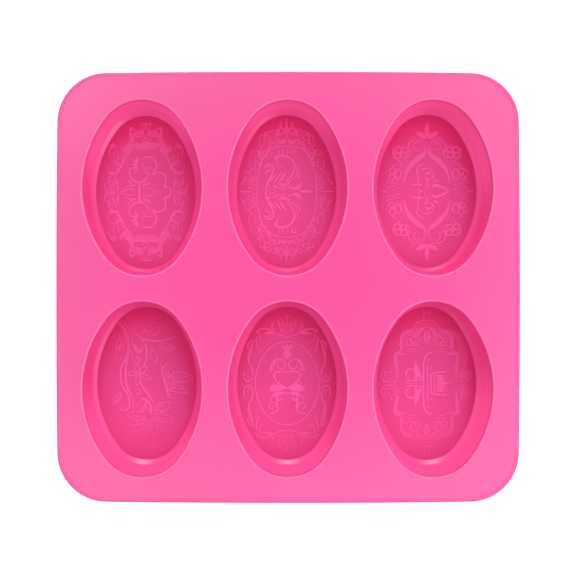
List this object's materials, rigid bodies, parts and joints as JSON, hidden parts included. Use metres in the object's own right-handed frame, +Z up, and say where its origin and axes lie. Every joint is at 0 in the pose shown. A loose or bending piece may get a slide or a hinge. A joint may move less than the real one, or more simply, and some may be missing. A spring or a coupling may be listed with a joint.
{
  "type": "silicone soap mould",
  "caption": "Flexible silicone sheet with a grid of deep oval cups for casting soap bars, each with a raised scrollwork ornament on its floor.",
  "frame": {"origin": "centre of the overall outline, on the plane that the cups' undersides rest on", "axes": "+Z up out of the cups' mouths, +X along the longer side of the sheet, +Y towards the back row of cups"},
  "size_m": [0.215, 0.2, 0.025],
  "materials": {
    "sheet": "satin",
    "cup_wall": "satin",
    "cup_floor": "satin",
    "ornament": "satin"
  },
  "bodies": {
    "root": {"deck": "sheet", "rim_bead": "sheet", "cup_wall_back_left": "cup_wall", "cup_wall_back_middle": "cup_wall", "cup_wall_back_right": "cup_wall", "cup_wall_front_left": "cup_wall", "cup_wall_front_middle": "cup_wall", "cup_wall_front_right": "cup_wall", "cup_base_back_left": "cup_floor", "cup_base_back_middle": "cup_floor", "cup_base_back_right": "cup_floor", "cup_base_front_left": "cup_floor", "cup_base_front_middle": "cup_floor", "cup_base_front_right": "cup_floor", "relief_leaf_cartouche": "ornament", "relief_lace_palmette": "ornament", "relief_damask_scrolls": "ornament", "relief_vine_and_butterfly": "ornament", "relief_crowned_heart": "ornament", "relief_bracket_fan": "ornament"}
  },
  "joints": []
}
